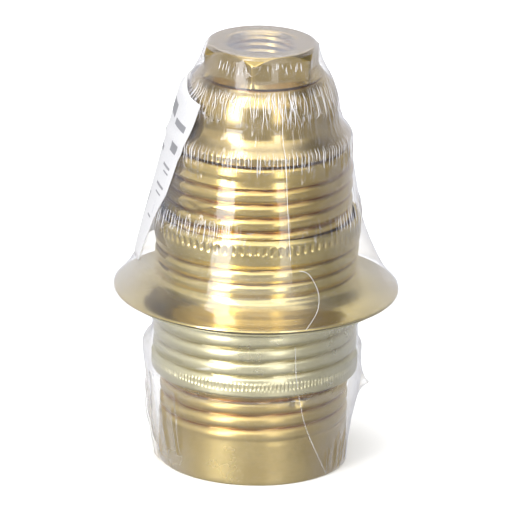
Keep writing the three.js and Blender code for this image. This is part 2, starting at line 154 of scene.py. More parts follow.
class Shader:
    """The node tree of a material or of the world, with short calls for its nodes and links."""

    def __init__(self, owner):
        owner.use_nodes = True
        self.owner = owner
        self.tree = owner.node_tree
        self.tree.nodes.clear()

    def node(self, kind, **settings):
        made = self.tree.nodes.new(kind)
        for key, value in settings.items():
            if key in made.inputs:
                self.put(made.inputs[key], value)
            else:
                setattr(made, key, value)
        return made

    def put(self, socket, value):
        if isinstance(value, bpy.types.NodeSocket):
            self.tree.links.new(value, socket)
        else:
            socket.default_value = value

    def position(self, scale=(1, 1, 1)):
        """Object-space position, stretched by a scale along each axis."""
        place = self.node("ShaderNodeTexCoord")
        mapping = self.node("ShaderNodeMapping")
        mapping.inputs["Scale"].default_value = scale
        self.tree.links.new(place.outputs["Object"], mapping.inputs["Vector"])
        return mapping.outputs["Vector"]

    def noise(self, vector, scale, detail=4.0, roughness=0.55):
        made = self.node("ShaderNodeTexNoise", Vector=vector, Scale=scale, Detail=detail)
        made.inputs["Roughness"].default_value = roughness
        return made.outputs["Fac"]

    def ramp(self, factor, stops):
        made = self.node("ShaderNodeValToRGB", Fac=factor)
        points = made.color_ramp.elements
        while len(points) < len(stops):
            points.new(0.5)
        for point, (place, color) in zip(points, stops):
            point.position = place
            point.color = (*color, 1.0) if len(color) == 3 else color
        return made.outputs["Color"]

    def mix(self, factor, first, second, blend="MIX"):
        made = self.node("ShaderNodeMix", data_type="RGBA", blend_type=blend)
        self.put(made.inputs[0], factor)
        self.put(made.inputs[6], first)
        self.put(made.inputs[7], second)
        return made.outputs[2]

    def between(self, value, from_low, from_high, to_low, to_high):
        made = self.node("ShaderNodeMapRange", Value=value)
        for key, number in (
            ("From Min", from_low), ("From Max", from_high), ("To Min", to_low), ("To Max", to_high)
        ):
            made.inputs[key].default_value = number
        return made.outputs["Result"]

    def calc(self, operation, first, second=0.0):
        made = self.node("ShaderNodeMath", operation=operation)
        self.put(made.inputs[0], first)
        self.put(made.inputs[1], second)
        return made.outputs[0]

    def bump(self, height, strength, distance, normal=None):
        made = self.node("ShaderNodeBump", Height=height)
        made.inputs["Strength"].default_value = strength
        made.inputs["Distance"].default_value = distance
        if normal is not None:
            self.tree.links.new(normal, made.inputs["Normal"])
        return made.outputs["Normal"]

    def attribute(self, name):
        return self.node("ShaderNodeAttribute", attribute_name=name).outputs["Fac"]

    def principled(self, color, roughness, normal, metallic=0.0):
        made = self.node("ShaderNodeBsdfPrincipled", Roughness=roughness, Normal=normal)
        made.inputs["Metallic"].default_value = metallic
        self.put(made.inputs["Base Color"], color)
        return made

    def layered(self, factor, under, over):
        made = self.node("ShaderNodeMixShader", Fac=factor)
        self.put(made.inputs[1], under)
        self.put(made.inputs[2], over)
        return made.outputs[0]

    def output(self, surface):
        self.node("ShaderNodeOutputMaterial", Surface=surface)
        return self.owner


def new_material(name):
    return Shader(bpy.data.materials.new(name))


def grey(level):
    return (level, level, level)


# ------------------------------------------------------------------ materials


HANDLED_FADE = 0.004             # metres over which handled brass turns bright again
HANDLED_ROUGHNESS = 0.13


def make_brass(name, clean, dull, shaded_groove, roughness, handled_below=0.0):
    """Drawn brass: lathe lines round it, cloudy tarnish, fine specks, and painted shade that darkens its
    thread grooves and knurl valleys.

    Below the height handled_below, in metres, it is duller.
    """
    s = new_material(name)
    cloud = s.noise(s.position(), 120.0, 5.0)
    lines = s.noise(s.position((0.04, 0.04, 1.0)), 9000.0, 3.0)
    specks = s.noise(s.position(), 1500.0, 2.0)
    color = s.mix(s.ramp(cloud, [(0.35, grey(0.0)), (0.7, grey(1.0))]), (*clean, 1), (*dull, 1))
    speckled = s.ramp(specks, [(0.3, grey(0.82)), (0.5, grey(1.0))])
    color = s.mix(0.5, color, speckled, "MULTIPLY")
    # Painted shade: the brass turns to the dark groove colour where the mesh marks a thread groove or a
    # knurl valley.
    deep = s.between(s.attribute("shaded_groove"), 0.35, 1.0, 0.0, 1.0)
    color = s.mix(deep, color, (*shaded_groove, 1))
    rough = s.between(cloud, 0.3, 0.75, roughness - 0.05, roughness + 0.08)
    if handled_below:
        height = s.node("ShaderNodeSeparateXYZ", Vector=s.position()).outputs["Z"]
        worn = s.between(height, handled_below, handled_below + HANDLED_FADE, HANDLED_ROUGHNESS, 0.0)
        rough = s.calc("ADD", rough, worn)
    normal = s.bump(lines, 0.25, 0.00002)
    normal = s.bump(specks, 0.12, 0.00003, normal)
    return s.output(s.principled(color, rough, normal, metallic=1.0).outputs["BSDF"])


def make_steel():
    s = new_material("zinc_steel")
    cloud = s.noise(s.position(), 900.0, 4.0)
    color = s.ramp(cloud, [(0.3, (0.52, 0.53, 0.52)), (0.7, (0.74, 0.75, 0.76))])
    rough = s.between(cloud, 0.3, 0.7, 0.24, 0.4)
    surface = s.principled(color, rough, s.bump(cloud, 0.2, 0.00004), metallic=1.0)
    return s.output(surface.outputs["BSDF"])


def make_ceramic():
    s = new_material("porcelain")
    cloud = s.noise(s.position(), 260.0, 4.0)
    pits = s.noise(s.position(), 2600.0, 2.0)
    color = s.ramp(cloud, [(0.3, (0.86, 0.83, 0.76)), (0.7, (0.94, 0.92, 0.87))])
    rough = s.between(pits, 0.3, 0.7, 0.35, 0.55)
    surface = s.principled(color, rough, s.bump(pits, 0.25, 0.00006))
    surface.inputs["Coat Weight"].default_value = 0.35
    surface.inputs["Coat Roughness"].default_value = 0.12
    return s.output(surface.outputs["BSDF"])


def make_fibre():
    s = new_material("pressed_fibre")
    strands = s.noise(s.position((1.0, 1.0, 0.3)), 2200.0, 5.0, 0.7)
    color = s.ramp(strands, [(0.3, (0.74, 0.69, 0.6)), (0.7, (0.9, 0.87, 0.8))])
    rough = s.between(strands, 0.3, 0.7, 0.7, 0.9)
    return s.output(s.principled(color, rough, s.bump(strands, 0.4, 0.00008)).outputs["BSDF"])


def make_film(name, haze_face, haze_edge, tint, crease_milk):
    """Clear shrink film: see-through where faced, hazy where it turns away, white in its creases.

    The film's own coordinates are turns round the holder and millimetres of height. The vertex
    attribute "creased" says where it is puckered.
    """
    s = new_material(name)
    place = s.node("ShaderNodeUVMap", uv_map="flat").outputs["UV"]

    def stretched(across, up):
        mapping = s.node("ShaderNodeMapping", Vector=place)
        mapping.inputs["Scale"].default_value = (across, up, 1.0)
        return mapping.outputs["Vector"]

    def thin_lines(across, up, thin):
        off = s.calc("SUBTRACT", s.noise(stretched(across, up), 1.0, 2.0, 0.6), 0.5)
        return s.between(s.calc("ABSOLUTE", off), 0.0, thin, 1.0, 0.0)

    def times(first, second):
        return s.calc("MULTIPLY", first, second)

    def facing(**settings):
        return s.node("ShaderNodeLayerWeight", Blend=0.5, **settings).outputs["Facing"]

    creased = s.attribute("creased")
    patchy = s.between(s.noise(stretched(9.0, 0.25), 1.0, 2.0), 0.42, 0.6, 0.0, 1.0)
    lines = times(times(thin_lines(64.0, 0.16, 0.022), creased), patchy)
    puckers = times(s.noise(stretched(60.0, 0.22), 1.0, 3.0), creased)
    ripple = s.noise(stretched(6.0, 0.05), 1.0, 3.0, 0.5)
    normal = s.bump(puckers, 0.7, 0.00035)
    normal = s.bump(ripple, 0.3, 0.0012, normal)

    haze = s.between(facing(), 0.2, 1.0, haze_face, haze_edge)
    milk = s.calc("MAXIMUM", haze, times(lines, crease_milk))
    clear = s.node("ShaderNodeBsdfTransparent", Color=(0.97, 0.97, 0.975, 1))
    cloud = s.node("ShaderNodeBsdfDiffuse", Color=(*tint, 1))
    body = s.layered(milk, clear.outputs[0], cloud.outputs[0])

    rough = s.between(creased, 0.1, 0.9, 0.05, 0.3)
    gloss = s.node("ShaderNodeBsdfGlossy", Color=(0.95, 0.94, 1.0, 1), Roughness=rough, Normal=normal)
    grazing = s.calc("POWER", facing(Normal=normal), 4.0)
    calm = s.between(creased, 0.5, 0.9, 1.0, 0.6)
    shine = times(s.between(grazing, 0.0, 1.0, 0.07, 0.75), calm)
    return s.output(s.layered(shine, body, gloss.outputs[0]))


def make_paper():
    """Coated label paper with blank grey bars, where the real one has print."""
    s = new_material("label_paper")
    fibre = s.noise(s.position(), 3000.0, 4.0)
    place = s.node("ShaderNodeUVMap", uv_map="flat").outputs["UV"]
    split = s.node("ShaderNodeSeparateXYZ", Vector=place)
    across, up = split.outputs["X"], split.outputs["Y"]

    def inside(value, low, high):
        return s.calc("MULTIPLY", s.calc("GREATER_THAN", value, low), s.calc("LESS_THAN", value, high))

    def block(x0, x1, y0, y1):
        return s.calc("MULTIPLY", inside(across, x0, x1), inside(up, y0, y1))

    marks = block(0.1, 0.8, 0.82, 0.9)
    for x1, y0 in ((0.7, 0.68), (0.78, 0.6), (0.55, 0.52)):
        marks = s.calc("MAXIMUM", marks, block(0.1, x1, y0, y0 + 0.03))
    for x0, y0, y1 in (
        (0.83, 0.8, 0.84), (0.88, 0.66, 0.72), (0.86, 0.56, 0.575), (0.89, 0.53, 0.54),
        (0.85, 0.44, 0.455), (0.88, 0.4, 0.41), (0.9, 0.25, 0.262),
    ):
        marks = s.calc("MAXIMUM", marks, block(x0, 0.955, y0, y1))
    stripes = s.calc("LESS_THAN", s.calc("FRACT", s.calc("MULTIPLY", across, 34.0)), 0.45)
    bars = s.calc("MULTIPLY", block(0.18, 0.82, 0.12, 0.36), stripes)
    marks = s.calc("MAXIMUM", marks, bars)
    blank = s.ramp(fibre, [(0.3, (0.66, 0.66, 0.68)), (0.7, (0.72, 0.72, 0.74))])
    color = s.mix(s.calc("MULTIPLY", marks, 0.75), blank, (0.16, 0.16, 0.18, 1))
    rough = s.between(fibre, 0.3, 0.7, 0.45, 0.6)
    surface = s.principled(color, rough, s.bump(fibre, 0.15, 0.00004))
    through = s.node("ShaderNodeBsdfTranslucent", Color=color)
    return s.output(s.layered(0.3, surface.outputs[0], through.outputs[0]))


# The third colour of each brass is painted shade, laid into its thread grooves and knurl valleys.
BARREL_BRASS = make_brass(
    "brass_barrel", (0.84, 0.66, 0.27), (0.66, 0.49, 0.17), (0.42, 0.21, 0.06), 0.17, handled_below=0.0125
)
BRASS = make_brass("brass_bright", (0.83, 0.69, 0.33), (0.66, 0.53, 0.21), (0.38, 0.23, 0.07), 0.17)
# A darker copy of the brass for the cap and the hexagon: its darkness is painted shade for the dimmer
# light the cap has, and its warmer tone is the cap's own.
CAP_BRASS = make_brass("brass_cap", (0.70, 0.55, 0.26), (0.53, 0.39, 0.15), (0.28, 0.16, 0.05), 0.18)
# A paler copy of the brass for the lower ring: its paleness is painted light, standing in for the whitish
# veil of the film over the ring.
PALE_BRASS = make_brass("brass_pale", (0.94, 0.88, 0.58), (0.84, 0.78, 0.47), (0.56, 0.47, 0.23), 0.3)
CONTACT_BRASS = make_brass("brass_contact", (0.78, 0.61, 0.3), (0.64, 0.48, 0.22), (0.3, 0.2, 0.1), 0.3)
STEEL = make_steel()
PORCELAIN = make_ceramic()
FIBRE = make_fibre()
HAT_FILM = make_film("film_hat", 0.012, 0.34, (0.68, 0.69, 0.77), 0.6)
SLEEVE_FILM = make_film("film_sleeve", 0.03, 0.45, (0.68, 0.69, 0.75), 0.5)
SEAM_FILM = make_film("film_seam", 0.55, 0.75, (0.9, 0.9, 0.92), 0.0)
PAPER = make_paper()

# ------------------------------------------------------------------ shape helpers


def ease(low, high, value):
    t = np.clip((value - low) / (high - low), 0.0, 1.0)
    return t * t * (3 - 2 * t)


def window(value, low, high, fade):
    """1 between low and high, falling smoothly to 0 over a fade at each end."""
    return ease(low, low + fade, value) * (1 - ease(high - fade, high, value))


def along(points, step):
    """Points on the straight lines through (radius, height) points, at most a step apart."""
    made = [points[0]]
    for (r0, z0), (r1, z1) in zip(points, points[1:]):
        count = max(1, math.ceil(math.hypot(r1 - r0, z1 - z0) / step))
        for i in range(1, count + 1):
            t = i / count
            made.append((r0 + (r1 - r0) * t, z0 + (z1 - z0) * t))
    return made


def radius_at(outline, z):
    """The radius at each height z of an outline of (height, radius) points."""
    heights, radii = zip(*outline)
    return np.interp(z, heights, radii)


def spread(profile, phi):
    """The radius and the height of each (radius, height) point, repeated for every angle phi."""
    profile = np.asarray(profile, float)
    return profile[:, 0][:, None] + 0 * phi, profile[:, 1][:, None] + 0 * phi


def helix(z, phi, pitch, start=0.0):
    """Turns from the nearest crest of a right-hand thread, from -0.5 to 0.5."""
    turns = z / pitch - phi / TURN + start
    return turns - np.round(turns)


def rounded_groove(z, phi, pitch, low, high, start=0.0):
    """1 at the bottom of a rounded thread's groove, 0 on its crest and outside low to high."""
    off = np.abs(helix(z, phi, pitch, start)) * 2
    return off ** 2.6 * window(z, low, high, pitch * 0.4)


def knurl_groove(z, phi, count, low, high):
    """1 between the ridges of a straight knurl with rounded ends, 0 on them."""
    valley = 0.5 + 0.5 * np.cos(phi * count)
    return valley ** 1.5 * window(z, low, high, (high - low) * 0.3)


def dimple(z, phi, azimuth, height, wide, tall):
    """1 at the middle of a small round dent, fading to 0 round it."""
    off = (phi - azimuth_to_phi(azimuth) + math.pi) % TURN - math.pi
    return np.exp(-(off * CREST_R / wide) ** 2 - ((z - height) / tall) ** 2)


def mesh_piece(name, points, quads):
    """A smooth mesh object from points in millimetres."""
    mesh = bpy.data.meshes.new(name)
    mesh.from_pydata((points.reshape(-1, 3) * MM).tolist(), [], quads.reshape(-1, 4).tolist())
    mesh.polygons.foreach_set("use_smooth", np.ones(len(mesh.polygons), bool))
    piece = bpy.data.objects.new(name, mesh)
    bpy.context.scene.collection.objects.link(piece)
    return piece


def grid_mesh(name, points, wrap_rows, shaded_groove=None, creased=None, uv=None, wrap_columns=True):
    """A mesh from a rows x columns x 3 array in millimetres. Rows going up face outwards."""
    rows, columns = points.shape[:2]
    index = np.arange(rows * columns).reshape(rows, columns)
    across = np.roll(index, -1, axis=1)
    above = np.roll(index, -1, axis=0)
    both = np.roll(across, -1, axis=0)
    quads = np.stack([index, across, both, above], axis=-1)
    last_row = rows if wrap_rows else rows - 1
    last_column = columns if wrap_columns else columns - 1
    piece = mesh_piece(name, points, quads[:last_row, :last_column])
    mesh = piece.data
    # These groove values are painted shade: the brass darkens where they are high.
    for key, values in (("shaded_groove", shaded_groove), ("creased", creased)):
        if values is not None:
            layer = mesh.attributes.new(key, "FLOAT", "POINT")
            layer.data.foreach_set("value", values.reshape(-1).astype(np.float32))
    if uv is not None:
        layer = mesh.uv_layers.new(name="flat")
        corners = np.zeros(len(mesh.loops), np.int32)
        mesh.loops.foreach_get("vertex_index", corners)
        layer.data.foreach_set("uv", uv.reshape(-1, 2)[corners].astype(np.float32).reshape(-1))
    return piece


def placed(radius, height, phi):
    """An array of points from radius, height and phi, the angle in radians from +X."""
    return np.stack([radius * np.cos(phi), radius * np.sin(phi), height], axis=-1)


def angles(count, start=0.0):
    """Angles phi for so many columns once round."""
    return start + np.arange(count) * TURN / count


def azimuth_to_phi(degrees):
    return np.radians(np.asarray(degrees, float) - 90.0)


def phi_to_azimuth(phi):
    return (np.degrees(phi) + 90.0 + 180.0) % 360.0 - 180.0


def turned(name, outer, inner, outer_cut, inner_cut=None, columns=COLUMNS):
    """A closed turned shell: outer goes up the outside, inner comes down the inside.

    outer_cut(z, phi) gives how far the outside is cut in, with how much painted shade that groove
    gets from 0 to 1, and inner_cut how far the inside is cut out, with its painted shade too.
    """
    phi = angles(columns)[None, :]
    r, z = spread([*outer, *inner], phi)
    shaded_groove = np.zeros_like(r)
    count = len(outer)
    depth, shade = outer_cut(z[:count], phi)
    r[:count] -= depth
    shaded_groove[:count] = shade
    if inner_cut:
        depth, shade = inner_cut(z[count:], phi)
        r[count:] += depth
        shaded_groove[count:] = shade
    return grid_mesh(name, placed(r, z, phi + 0 * r), wrap_rows=True, shaded_groove=shaded_groove)


def finish_piece(piece, material, body, nodes=(), sharp=38.0):
    piece.data.materials.append(material)
    if sharp:
        piece.data.set_sharp_from_angle(angle=math.radians(sharp))
    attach(piece, body)
    if nodes:
        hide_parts(*nodes)
    return piece


# ------------------------------------------------------------------ barrel


# (azimuth, height, width, tallness, depth) of each dent that keys the barrel, and each bulge by one
DENTS = [
    (-46.0, 42.4, 1.6, 0.6, 0.4), (-27.0, 42.2, 1.5, 0.6, 0.3), (-36.5, 42.6, 1.3, 0.6, -0.25),
    (-29.0, 43.2, 1.8, 0.4, -0.2), (27.0, 12.5, 0.6, 0.5, 0.4), (36.0, 12.2, 1.9, 0.9, -0.25),
    (-62.0, 10.9, 2.4, 0.8, 0.5), (95.0, 42.4, 1.0, 0.55, 0.5), (-155.0, 12.2, 0.9, 0.6, 0.5),
    (150.0, 42.2, 0.9, 0.55, 0.45),
]


def barrel_cut(z, phi):
    thread = rounded_groove(z, phi, THREAD_PITCH, SKIRT_TOP - 0.4, BARREL_BEAD_BOTTOM, 0.31)
    depth = thread * THREAD_DEPTH
    for azimuth, height, wide, tall, deep in DENTS:
        depth = depth + deep * dimple(z, phi, azimuth, height, wide, tall)
    # The thread mask is also the painted shade in the barrel's grooves.
    return depth, thread


def make_barrel():
    outer = (
        along([(MOUTH_R, 0.0), (SKIRT_R - 0.2, 0.0), (SKIRT_R - 0.05, 0.08), (SKIRT_R, 0.3)], 0.2)
        + along([(SKIRT_R, 0.9), (SKIRT_R, SKIRT_TOP - 0.3)], COARSE)
        + along([(CREST_R, SKIRT_TOP), (CREST_R, BARREL_BEAD_BOTTOM - 0.8)], FINE)
        + along([(BARREL_BEAD_R, BARREL_BEAD_BOTTOM), (BARREL_BEAD_R + 0.1, BARREL_BEAD_BOTTOM + 0.7),
                 (BARREL_BEAD_R, BARREL_TOP - 0.5), (BARREL_BEAD_R - 0.2, BARREL_TOP - 0.15),
                 (BARREL_BEAD_R - 0.4, BARREL_TOP)], FINE)
    )
    inner = along([(BARREL_INNER_R + 0.15, BARREL_TOP), (BARREL_INNER_R, BARREL_TOP - 0.15),
                   (BARREL_INNER_R, LEDGE_TOP), (LEDGE_R + 0.1, LEDGE_TOP - 0.1),
                   (LEDGE_R, LEDGE_TOP - 0.3), (LEDGE_R, LEDGE_BOTTOM + 0.3),
                   (LEDGE_R + 0.1, LEDGE_BOTTOM + 0.1), (BARREL_INNER_R, LEDGE_BOTTOM),
                   (BARREL_INNER_R, SKIRT_TOP), (MOUTH_R, SKIRT_TOP - 0.3), (MOUTH_R, 0.1)], 3.0)
    piece = turned("barrel_shell", outer, inner, barrel_cut)
    finish_piece(piece, BARREL_BRASS, "barrel", ["barrel"])


make_barrel()

# ------------------------------------------------------------------ shade rings


def ring_cut(ridges, ridge_depth, bead, thread, start):
    """Knurled bead and thread of a shade ring, each from a lower to an upper height."""
    def cut(z, phi):
        shaded_groove = rounded_groove(z, phi, THREAD_PITCH, *thread, start)
        knurl = knurl_groove(z, phi, ridges, *bead)
        # The second value is painted shade in the thread grooves and between the knurl ridges.
        return shaded_groove * 0.45 + knurl * ridge_depth, np.maximum(shaded_groove, knurl * 0.6)
    return cut


def ring_bore_cut(low, high, start):
    """Female thread of a shade ring: its crests clear the barrel's."""
    def cut(z, phi):
        crest = 1 - rounded_groove(z, phi, THREAD_PITCH, low, high, start)
        # The second value is painted shade in the bore's thread grooves.
        return crest * 0.18, 1 - crest
    return cut


def make_upper_ring():
    neck = 29.1
    start = 0.78
    bead = UPPER_TOP - RING_BEAD_HEIGHT
    flare = [
        (UPPER_RIM_R - 0.45, UPPER_RIM_Z), (UPPER_RIM_R - 0.1, UPPER_RIM_Z + 0.05),
        (UPPER_RIM_R, UPPER_RIM_Z + 0.25), (UPPER_RIM_R - 0.1, UPPER_RIM_Z + 0.46),
        (UPPER_RIM_R - 0.4, UPPER_RIM_Z + 0.55), (20.0, 27.12), (19.0, 27.32), (18.0, 27.56),
        (17.2, 27.84), (16.4, 28.2), (15.8, 28.58), (15.4, 28.95), (RING_OUTER_R, neck + 0.3),
    ]
    outer = (
        along(flare, 0.35)
        + along([(RING_OUTER_R, neck + 0.5), (RING_OUTER_R, bead - 1.6)], FINE)
        + along([(RING_OUTER_R + 0.1, bead - 1.4), (RING_BEAD_R, bead - 0.6),
                 (RING_BEAD_R, UPPER_TOP - 1.0), (RING_BEAD_R - 0.08, UPPER_TOP - 0.6),
                 (RING_BEAD_R - 0.25, UPPER_TOP - 0.28), (RING_BEAD_R - 0.5, UPPER_TOP)], FINE)
    )
    inner = (
        along([(RING_INNER_R + 0.2, UPPER_TOP), (RING_INNER_R, UPPER_TOP - 0.15)], FINE)
        + along([(RING_INNER_R, UPPER_TOP - 0.4), (RING_INNER_R, 28.4)], FINE)
        + along([(RING_INNER_R + 0.3, 28.2), (16.4, 27.5), (18.8, 26.75),
                 (UPPER_RIM_R - 0.6, UPPER_RIM_Z + 0.12)], 0.5)
    )
    piece = turned(
        "shade_ring_upper", outer, inner,
        ring_cut(UPPER_KNURLS, 0.2, (bead + 0.1, UPPER_TOP - 0.7), (neck + 0.2, bead - 1.0), start),
        ring_bore_cut(28.6, UPPER_TOP - 0.4, start),
        columns=COLUMNS * 2,
    )
    finish_piece(piece, BRASS, "upper_ring", ["upper_shade_ring"])


def make_lower_ring():
    neck = 23.9
    start = 0.33
    bead = LOWER_BOTTOM + RING_BEAD_HEIGHT
    outer = (
        along([(RING_BEAD_R - 0.4, LOWER_BOTTOM), (RING_BEAD_R - 0.15, LOWER_BOTTOM + 0.1),
               (RING_BEAD_R, LOWER_BOTTOM + 0.35), (RING_BEAD_R, bead - 0.25)], FINE)
        + along([(RING_OUTER_R, bead), (RING_OUTER_R, neck)], FINE)
        + along([(15.6, 24.3), (16.4, 24.75), (17.6, 25.15), (LOWER_RIM_R - 0.2, LOWER_RIM_Z - 0.48),
                 (LOWER_RIM_R, LOWER_RIM_Z - 0.3), (LOWER_RIM_R, LOWER_RIM_Z - 0.15),
                 (LOWER_RIM_R - 0.15, LOWER_RIM_Z)], 0.35)
    )
    inner = (
        along([(LOWER_RIM_R - 0.5, LOWER_RIM_Z), (RING_INNER_R + 0.2, LOWER_RIM_Z),
               (RING_INNER_R, LOWER_RIM_Z - 0.15)], 0.6)
        + along([(RING_INNER_R, LOWER_RIM_Z - 0.4), (RING_INNER_R, LOWER_BOTTOM + 0.3)], FINE)
        + [(RING_INNER_R + 0.15, LOWER_BOTTOM + 0.05)]
    )
    piece = turned(
        "shade_ring_lower", outer, inner,
        ring_cut(LOWER_KNURLS, 0.17, (bead - 1.3, bead), (bead - 0.1, neck + 0.1), start),
        ring_bore_cut(LOWER_BOTTOM + 0.4, LOWER_RIM_Z - 0.4, start),
        columns=COLUMNS * 2,
    )
    finish_piece(piece, PALE_BRASS, "lower_ring", ["lower_shade_ring"])


make_upper_ring()
make_lower_ring()

# ------------------------------------------------------------------ cap and entry bush


def cap_cut(z, phi):
    outside = z > CAP_BEAD_BOTTOM - 0.2
    knurl = knurl_groove(z, phi, CAP_KNURLS, CAP_BEAD_BOTTOM + 0.02, CAP_BEAD_TOP + 0.1) * outside
    thread = rounded_groove(z, phi, CAP_THREAD_PITCH, CAP_LOW[2] + 0.2, CAP_BEAD_BOTTOM - 0.3)
    thread = thread * (1 - outside)
    # The second value is painted shade in the cap's thread grooves and between its knurl ridges.
    return knurl * 0.1 + thread * 0.3, np.maximum(knurl * 0.4, thread)


def make_cap():
    spigot = BARREL_INNER_R - 0.3
    outer = (
        along([(spigot - 0.25, CAP_LOW[2]), (spigot, CAP_LOW[2] + 0.25)], FINE)
        + along([(spigot, CAP_LOW[2] + 0.5), (spigot, CAP_BEAD_BOTTOM - 0.1)], FINE)
        + along([(CAP_BEAD_R - 0.3, CAP_BEAD_BOTTOM), (CAP_BEAD_R, CAP_BEAD_BOTTOM + 0.25),
                 (CAP_BEAD_R, CAP_BEAD_TOP - 0.35), (CAP_BEAD_R - 0.3, CAP_BEAD_TOP)], FINE)
        + along([(12.9, 51.75), (12.3, 52.35), (11.9, 52.85), (11.65, 53.3), (CAP_R, 53.9),
                 (CAP_R, 55.6)], 0.4)
        + along([(11.46, 56.2), (11.36, 56.8), (11.2, 57.4), (11.0, 58.0), (10.76, 58.5), (10.5, 58.95),
                 (10.16, 59.4), (9.75, 59.8), (9.3, 60.08), (8.8, 60.24), (8.3, CAP_TOP),
                 (6.9, CAP_TOP)], 0.3)
    )
    inner = along([(6.9, CAP_TOP - 0.6), (8.2, CAP_TOP - 0.6), (9.3, 59.4), (10.2, 58.4), (10.7, 57.0),
                   (10.9, 55.6), (10.9, 53.4), (12.05, 51.6), (12.05, CAP_LOW[2])], 1.5)
    piece = turned("cap_shell", outer, inner, cap_cut)
    finish_piece(piece, CAP_BRASS, "cap", ["cap"])


def hexagon_r(phi, corner_r):
    """Radius of a hexagon with slightly rounded corners, one of them at HEX_TURN."""
    sixth = TURN / 6
    off = (phi - azimuth_to_phi(HEX_TURN)) % sixth - sixth / 2
    flat = corner_r * math.cos(sixth / 2)
    sharp = flat / np.cos(off)
    return np.minimum(sharp, corner_r - 0.14 + 0.25 * (corner_r - sharp))


def make_entry_bush():
    """A collar under the cap's top, the hexagon with its chamfer, and a threaded bore."""
    collar = [(7.2, 58.5), (7.4, 58.7), (7.4, 59.1), (7.2, 59.3), (6.6, 59.35), (6.6, HEX_BOTTOM)]
    seat = CAP_TOP + 0.03
    crown_bottom = HEX_TOP - HEX_CHAMFER_DROP
    hexagon = along([(HEX_CORNER_R - 0.8, seat), (HEX_CORNER_R, seat + 0.12),
                     (HEX_CORNER_R, crown_bottom - 0.1)], 0.5)
    crown = along([(HEX_CORNER_R, crown_bottom), (HEX_CORNER_R, HEX_TOP)], 0.08)
    face = along([(HEX_CHAMFER_R - 0.25, HEX_TOP), (5.5, HEX_TOP), (5.05, HEX_TOP - 0.3)], 0.4)
    bore = along([(4.75, HEX_TOP - 0.5), (4.75, 58.6)], 0.1)
    phi = angles(COLUMNS, azimuth_to_phi(HEX_TURN))[None, :]
    r, z = spread([*along(collar, 0.4), *hexagon, *crown], phi)
    flats = np.minimum(r, hexagon_r(phi, HEX_CORNER_R))
    chamfer = HEX_CHAMFER_R + (HEX_TOP - z) * 1.13
    soft = 0.05
    blended = -soft * np.log(np.exp(-flats / soft) + np.exp(-chamfer / soft))
    sides = np.where(z > crown_bottom, blended, flats)
    r = np.where(z > HEX_BOTTOM - 0.01, sides, r)
    bore_r, bore_z = spread([*face, *bore], phi)
    shaded_groove = 0.5 + 0.5 * np.cos(TURN * helix(bore_z, phi, BORE_THREAD_PITCH))
    shaded_groove = shaded_groove * window(bore_z, 58.7, HEX_TOP - 0.3, 0.3)
    bore_r = bore_r + shaded_groove * 0.3 * (bore_r < 4.8)
    points = np.concatenate([placed(r, z, phi + 0 * r), placed(bore_r, bore_z, phi + 0 * bore_r)])
    shade = np.concatenate([np.zeros_like(r), shaded_groove * 0.7 * (bore_r < 5.1)])
    piece = grid_mesh("entry_bush_hexagon", points, wrap_rows=True, shaded_groove=shade)
    finish_piece(piece, CAP_BRASS, "cap", ["entry_bush"], sharp=45.0)


make_cap()
make_entry_bush()

# ------------------------------------------------------------------ inside pieces

for node_name, material in (
    ("ceramic_insert", PORCELAIN), ("insulating_liner", FIBRE), ("screw_shell", CONTACT_BRASS),
    ("contact_leaf", CONTACT_BRASS), ("contact_rivet", CONTACT_BRASS),
    ("shell_rivet_neutral", CONTACT_BRASS), ("shell_rivet_plain", CONTACT_BRASS),
    ("terminal_live", CONTACT_BRASS), ("terminal_neutral", CONTACT_BRASS),
    ("earth_block", CONTACT_BRASS), ("terminal_screw_live", STEEL),
    ("terminal_screw_neutral", STEEL), ("earth_screw", STEEL),
):
    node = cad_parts[node_name]
    node.data.materials.clear()
    node.data.materials.append(material)

# ------------------------------------------------------------------ wrapping

FILM_COLUMNS = 541               # points round each film, from the back and to it again

# (height, radius) of the film round the holder, and then over its top to the axis
HAT_SIDE = [
    (26.2, 21.3), (26.6, 21.35), (26.95, 21.3), (27.5, 20.75), (28.8, 19.6), (30.8, 18.45),
    (33.9, 17.0), (36.2, 16.1), (37.6, 15.62), (38.7, 15.4), (41.7, 14.85), (44.9, 14.25),
    (47.6, 13.85), (49.5, 13.75), (51.1, 13.7), (51.9, 13.15), (53.0, 12.45), (54.3, 11.98),
    (55.6, 11.72), (56.7, 11.48), (58.0, 11.1), (59.3, 10.62), (60.4, 10.1), (61.9, 9.3),
    (63.5, 8.75), (64.3, 8.5), (64.85, 8.1),
]
HAT_TOP = [(65.02, 7.6), (65.0, 5.6), (64.85, 4.0), (64.75, 2.0), (64.72, 0.05)]
# (seed, how many, middle azimuth, spread, lower and upper height, size) of each row of pleats
HAT_PLEATS = [
    (11, 40, 40.0, 60.0, 53.0, 60.5, 0.14), (12, 34, -50.0, 30.0, 47.0, 52.2, 0.16),
    (13, 34, 60.0, 35.0, 47.0, 52.2, 0.16), (14, 30, -50.0, 20.0, 37.6, 42.0, 0.2),
    (15, 24, 80.0, 22.0, 37.6, 42.0, 0.2),
]
TENT_TOP = (58.5, 11.7)          # the tent under the label is straight between these
TENT_BOTTOM = (31.5, 18.1)
LABEL_BACK = -170.0
LABEL_FRONT = [(31.2, -76.0), (34.8, -73.0), (38.7, -69.0), (42.6, -62.0), (47.9, -58.0), (50.0, -54.5),
               (57.3, -48.0)]


def tent_share(azimuth):
    """1 on the left and back, where the film is a straight tent over the label, 0 on the right."""
    left = (-azimuth) % 360.0
    return ease(35.0, 68.0, left) * (1 - ease(200.0, 250.0, left))


